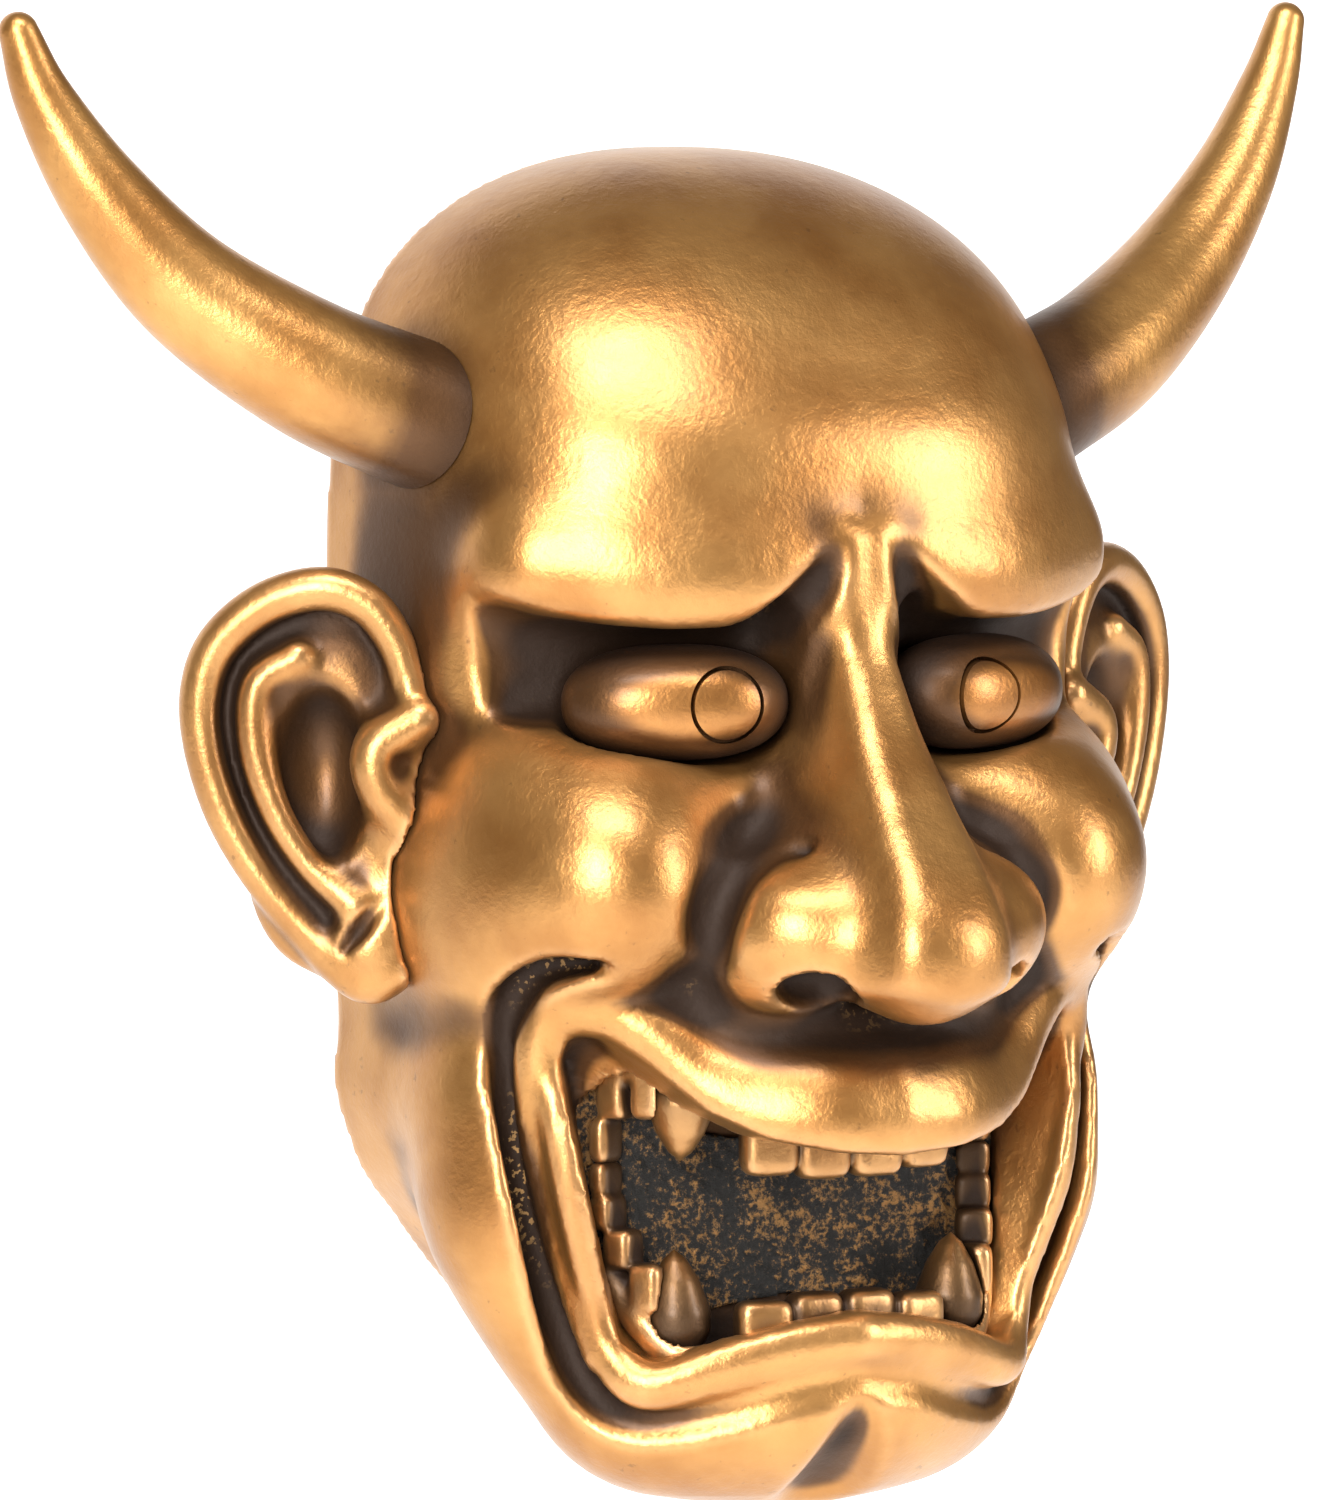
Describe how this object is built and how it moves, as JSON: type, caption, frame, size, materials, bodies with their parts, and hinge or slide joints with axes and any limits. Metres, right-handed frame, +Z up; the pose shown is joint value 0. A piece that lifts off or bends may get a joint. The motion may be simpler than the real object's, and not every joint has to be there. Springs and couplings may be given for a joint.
{
  "type": "noh mask",
  "caption": "Wall-hung demon mask in cast resin with a bronze finish: horned, snarling hollow face with set-in eyes and teeth, and a hinged hanging ring behind the crown.",
  "frame": {"origin": "the nail, where it meets the wall, inside the top of the raised hanging ring; the mask's flat rim lies in the wall's plane", "axes": "+Y into the wall, +Z up, +X to a viewer's right; the mask is symmetric about X = 0 and faces -Y"},
  "size_m": [0.2742, 0.1084, 0.2691],
  "materials": {
    "face_bronze": "cast resin, satin bronze paint with dark wash in the hollows",
    "ear_bronze": "as the face, with more dark wash",
    "horn_bronze": "as the face, dark at the root",
    "eye_bronze": "satin bronze paint",
    "pupil_bronze": "satin bronze paint with a dark joint line",
    "tooth_bronze": "satin bronze paint, dark between the teeth",
    "lining": "rough black with dry-brushed bronze specks",
    "zinc_steel": "zinc plated",
    "screw_steel": "zinc plated, crossed slot"
  },
  "bodies": {
    "mask": {"face_shell": "face_bronze", "left_ear": "ear_bronze", "right_ear": "ear_bronze", "left_horn": "horn_bronze", "right_horn": "horn_bronze", "left_eye": "eye_bronze", "right_eye": "eye_bronze", "left_pupil": "pupil_bronze", "right_pupil": "pupil_bronze", "upper_teeth": "tooth_bronze", "lower_teeth": "tooth_bronze", "left_upper_fang": "tooth_bronze", "right_upper_fang": "tooth_bronze", "left_lower_fang": "tooth_bronze", "right_lower_fang": "tooth_bronze", "mouth_lining": "lining", "hanger_plate": "zinc_steel", "left_hanger_screw": "screw_steel", "right_hanger_screw": "screw_steel", "left_horn_screw": "screw_steel", "right_horn_screw": "screw_steel", "left_horn_washer": "zinc_steel", "right_horn_washer": "zinc_steel"},
    "ring": {"hanger_ring": "zinc_steel"}
  },
  "joints": [
    {"name": "hanger_ring_hinge", "type": "hinge", "parent": "mask", "child": "ring", "pos_m": [0, -0.00332, -0.0139], "axis": [1, 0, 0], "range_deg": [0, 175]}
  ]
}
